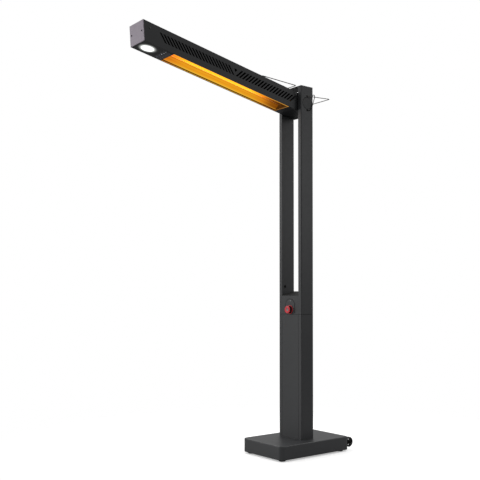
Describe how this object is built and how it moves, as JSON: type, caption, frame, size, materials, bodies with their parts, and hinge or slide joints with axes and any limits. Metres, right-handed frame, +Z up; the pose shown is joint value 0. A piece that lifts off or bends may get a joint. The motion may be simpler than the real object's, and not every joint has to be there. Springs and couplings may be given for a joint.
{
  "type": "infrared patio heater tower",
  "caption": "Wheeled tower heater whose long radiant arm, with lamp and touch panel in its nose, folds down into a slot between two uprights.",
  "frame": {"origin": "on the floor, under the middle of the column", "axes": "+Z up, -Y forward along the open arm, +X to the tower's right"},
  "size_m": [0.342, 1.3795, 2.2556],
  "materials": {
    "black_powder_coat": "satin black powder coat on sheet steel",
    "grey_powder_coat": "dark grey satin powder coat on steel tube",
    "ballast_steel": "raw painted steel slab",
    "zinc_steel": "bright zinc plated steel",
    "black_steel": "black oxide steel",
    "wire_steel": "nickel plated spring wire",
    "polished_aluminium": "mirror rolled aluminium, gold toned",
    "brass_trim": "brass edge strip",
    "shield_aluminium": "plain rolled aluminium",
    "bearing_bronze": "sintered bronze",
    "ceramic_white": "glazed steatite",
    "quartz_glass": "ruby tinted quartz tube",
    "filament_carbon": "glowing carbon strip",
    "lamp_diffuser": "opal diffuser, lit",
    "touch_glass": "dark printed glass",
    "circuit_board": "green solder mask",
    "black_plastic": "moulded black nylon",
    "grey_plastic": "moulded grey nylon",
    "red_plastic": "moulded red nylon",
    "nose_plastic": "moulded mauve grey plastic",
    "black_rubber": "moulded rubber",
    "tyre_rubber": "solid rubber tyre",
    "friction_fibre": "pressed friction fibre",
    "switch_plastic": "black phenolic"
  },
  "bodies": {
    "stand": {"base_ballast": "ballast_steel", "base_cover": "black_powder_coat", "cable_gland": "black_plastic", "column_flange": "ballast_steel", "column_joiners": "zinc_steel", "control_box": "black_powder_coat", "flange_bolts": "zinc_steel", "friction_washers": "friction_fibre", "grommets": "black_rubber", "header": "black_powder_coat", "hinge_bushes": "bearing_bronze", "knob_bezel": "red_plastic", "knob_plate": "black_powder_coat", "lower_column": "grey_powder_coat", "pivot_caps": "black_powder_coat", "power_board": "circuit_board", "rotary_switch": "switch_plastic", "rubber_feet": "black_rubber", "side_cable": "black_rubber", "slot_floor": "black_powder_coat", "stand_screws": "zinc_steel", "stop_buffers": "black_rubber", "terminal_block": "ceramic_white", "upright_caps": "grey_powder_coat", "upright_left": "grey_powder_coat", "upright_right": "grey_powder_coat", "wheel_axle": "zinc_steel", "wheel_brackets": "zinc_steel"},
    "knob": {"knob_body": "black_plastic", "knob_ring": "red_plastic", "knob_cap": "grey_plastic"},
    "wheel_left": {"wheel_rim_left": "black_plastic", "wheel_tyre_left": "tyre_rubber"},
    "wheel_right": {"wheel_rim_right": "black_plastic", "wheel_tyre_right": "tyre_rubber"},
    "bail": {"rear_bail": "wire_steel"},
    "stay": {"wire_stay": "wire_steel"},
    "arm": {"arm_housing": "black_powder_coat", "nose_cap": "nose_plastic", "nose_screws": "black_steel", "underside_front": "grey_powder_coat", "underside_rear": "grey_powder_coat", "reflector": "polished_aluminium", "reflector_ends": "brass_trim", "tube_holders": "ceramic_white", "heater_tube": "quartz_glass", "heater_filament": "filament_carbon", "heat_shield": "shield_aluminium", "lamp_ring": "grey_plastic", "lamp_lens": "lamp_diffuser", "lamp_board": "circuit_board", "touch_panel": "touch_glass", "control_board": "circuit_board", "hinge_block": "black_powder_coat", "arm_brace": "zinc_steel", "hinge_bolts": "zinc_steel", "hinge_shaft": "zinc_steel", "shaft_nuts": "zinc_steel", "catch_studs": "zinc_steel", "stay_clips": "black_powder_coat"}
  },
  "joints": [
    {"name": "arm_fold", "type": "hinge", "parent": "stand", "child": "arm", "pos_m": [0, 0, 2.003], "axis": [1, 0, 0], "range_deg": [0, 100.7]},
    {"name": "knob_turn", "type": "hinge", "parent": "stand", "child": "knob", "pos_m": [0, -0.0465, 0.822], "axis": [0, 1, 0], "range_deg": [0, 270]},
    {"name": "wheel_left_spin", "type": "hinge", "parent": "stand", "child": "wheel_left", "pos_m": [-0.14, 0.284, 0.046], "axis": [1, 0, 0], "continuous": true},
    {"name": "wheel_right_spin", "type": "hinge", "parent": "stand", "child": "wheel_right", "pos_m": [0.14, 0.284, 0.046], "axis": [1, 0, 0], "continuous": true},
    {"name": "bail_swing", "type": "hinge", "parent": "stand", "child": "bail", "pos_m": [0, 0, 2.043], "axis": [1, 0, 0], "range_deg": [-10, 140]},
    {"name": "stay_swing", "type": "hinge", "parent": "arm", "child": "stay", "pos_m": [0, -0.3024, 2.11535], "axis": [1, 0, 0], "range_deg": [0, 171]}
  ]
}
